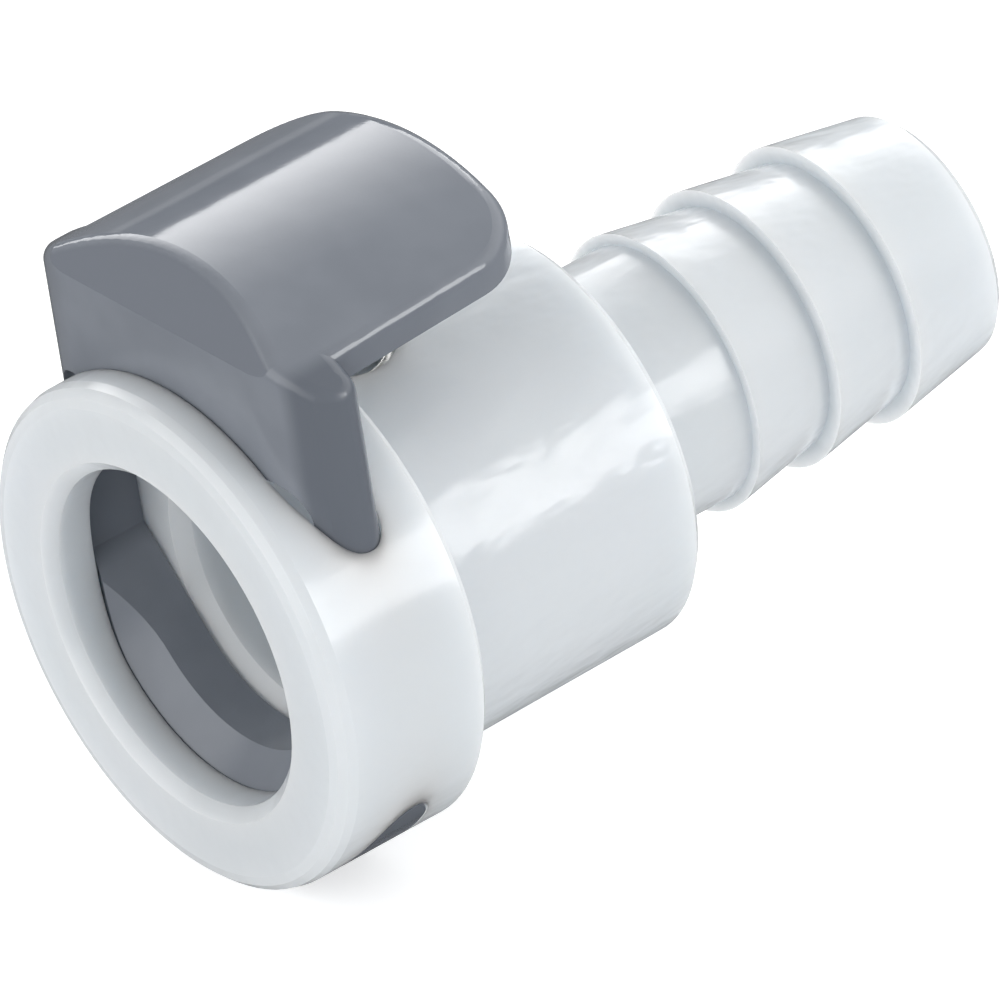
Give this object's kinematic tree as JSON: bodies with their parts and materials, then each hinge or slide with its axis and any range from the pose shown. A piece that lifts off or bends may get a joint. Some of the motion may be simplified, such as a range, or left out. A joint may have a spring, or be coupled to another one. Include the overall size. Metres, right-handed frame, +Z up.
{
  "type": "quick disconnect coupling",
  "caption": "Hose-side half of a quick disconnect coupling: a collar with a sprung thumb latch, a round barrel and a ringed hose barb, bored straight through.",
  "frame": {"origin": "on the flow axis, in the plane of the mating face", "axes": "+X along the flow axis from the mating face to the barb's tip, +Z up through the thumb latch"},
  "size_m": [0.0366, 0.0208, 0.0258],
  "materials": {
    "natural_polypropylene": "satin, slightly translucent natural polypropylene",
    "grey_latch_plastic": "glossy blue-grey moulded plastic",
    "spring_steel": "drawn stainless wire"
  },
  "bodies": {
    "coupling": {"coupling_body": "natural_polypropylene", "latch_spring": "spring_steel"},
    "latch": {"thumb_latch": "grey_latch_plastic"}
  },
  "joints": [
    {"name": "latch_press", "type": "slide", "parent": "coupling", "child": "latch", "axis": [0, 0, -1], "range_m": [0, 0.0015], "stiffness_N_per_m": 1200, "springref_m": -0.002, "deforming": ["latch_spring"]}
  ]
}
